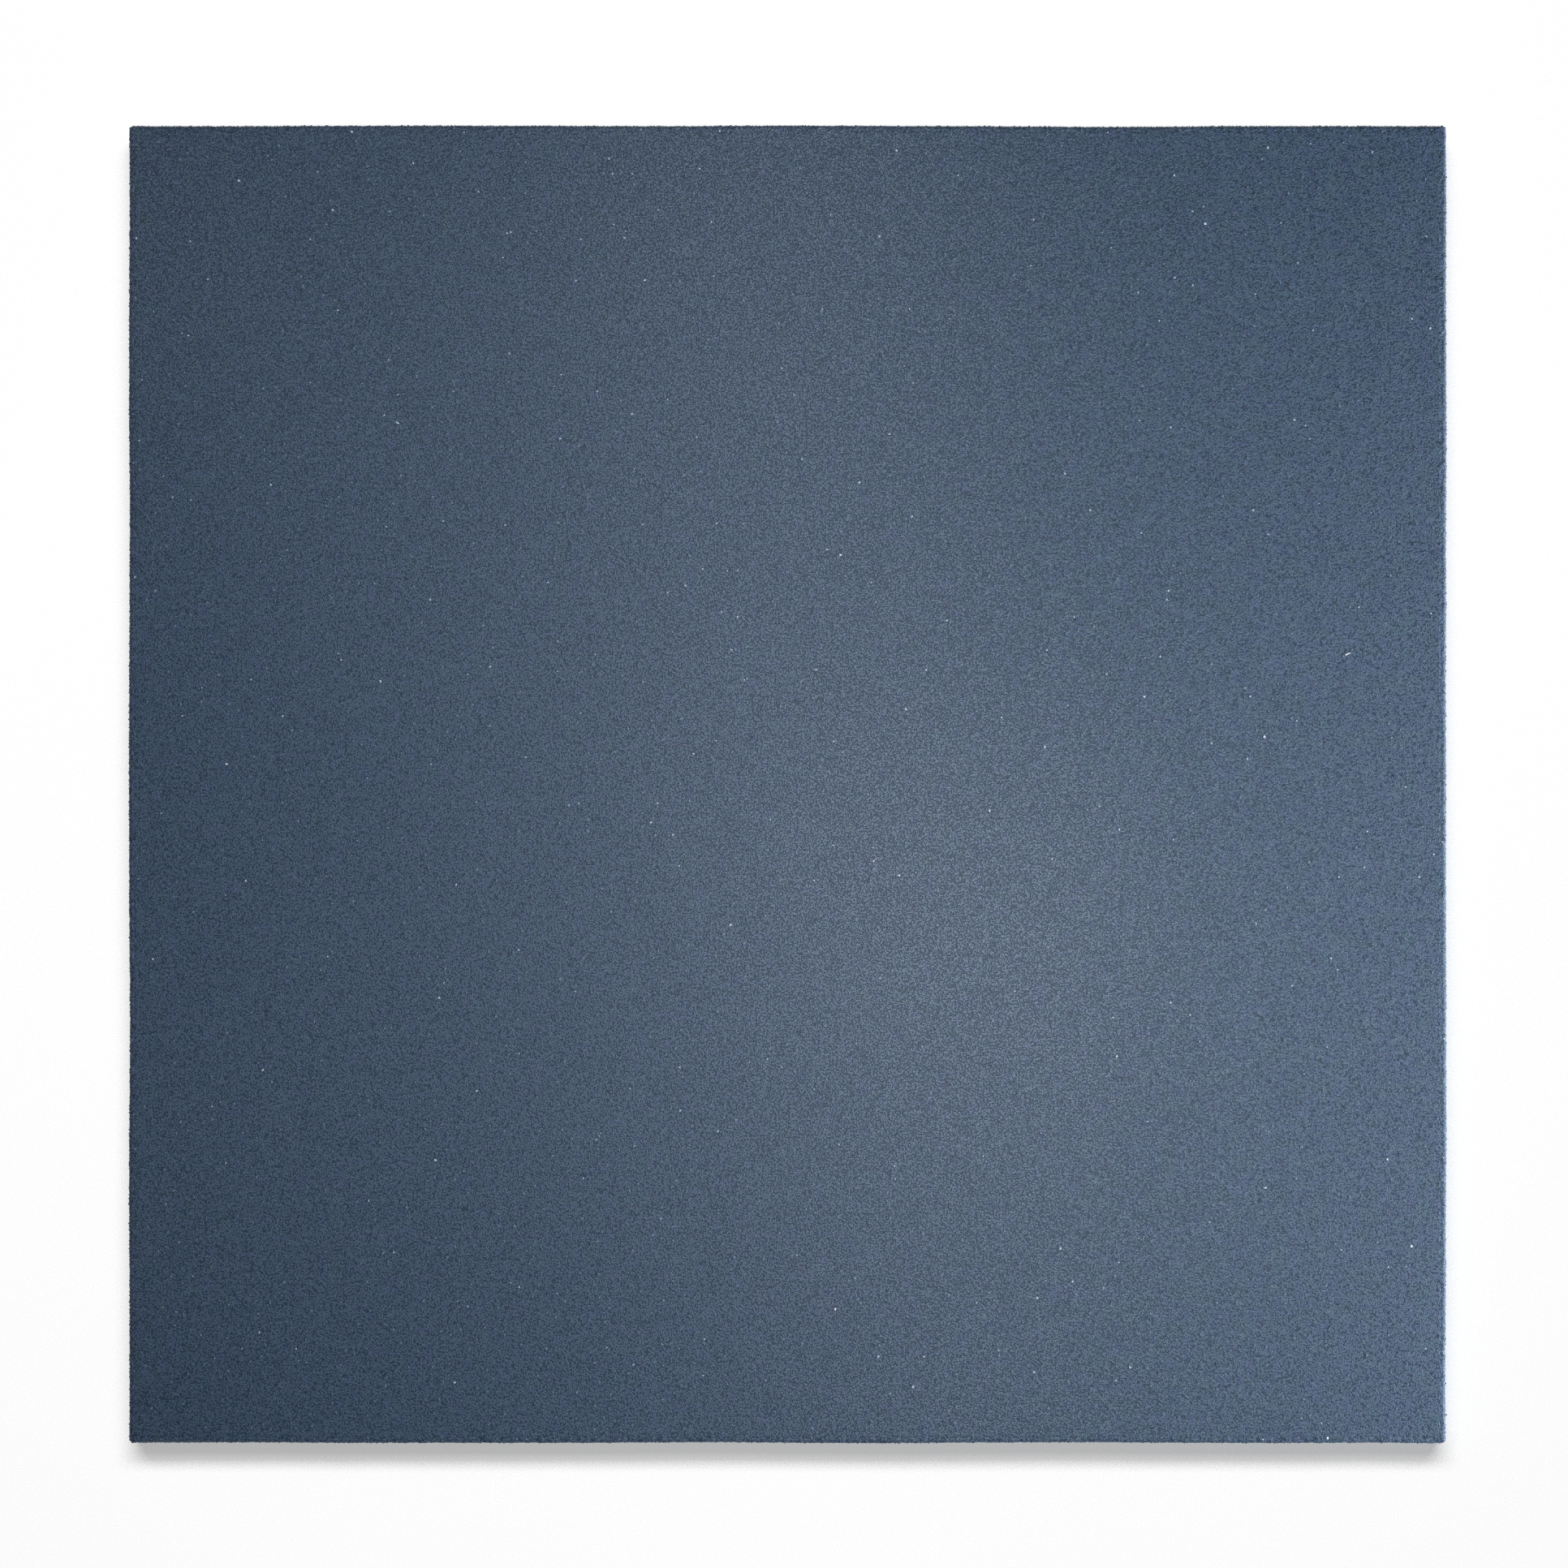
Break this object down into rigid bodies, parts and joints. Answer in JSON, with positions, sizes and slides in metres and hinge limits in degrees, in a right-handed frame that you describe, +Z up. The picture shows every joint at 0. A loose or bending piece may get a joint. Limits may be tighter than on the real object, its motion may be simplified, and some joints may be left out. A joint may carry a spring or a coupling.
{
  "type": "rubber gym floor tile",
  "caption": "Square slab of bonded rubber crumb for a gym floor, with a fine granular wear face, rounded edges and a flat underside.",
  "frame": {"origin": "centre of the underside, on the floor that the tile lies on", "axes": "+Z up out of the wear face, +X and +Y along the square's sides (+Y is the top of the picture)"},
  "size_m": [1, 1, 0.015],
  "materials": {
    "bonded_crumb": "fine granular, matt, blue-grey"
  },
  "bodies": {
    "root": {"rubber_tile": "bonded_crumb"}
  },
  "joints": []
}
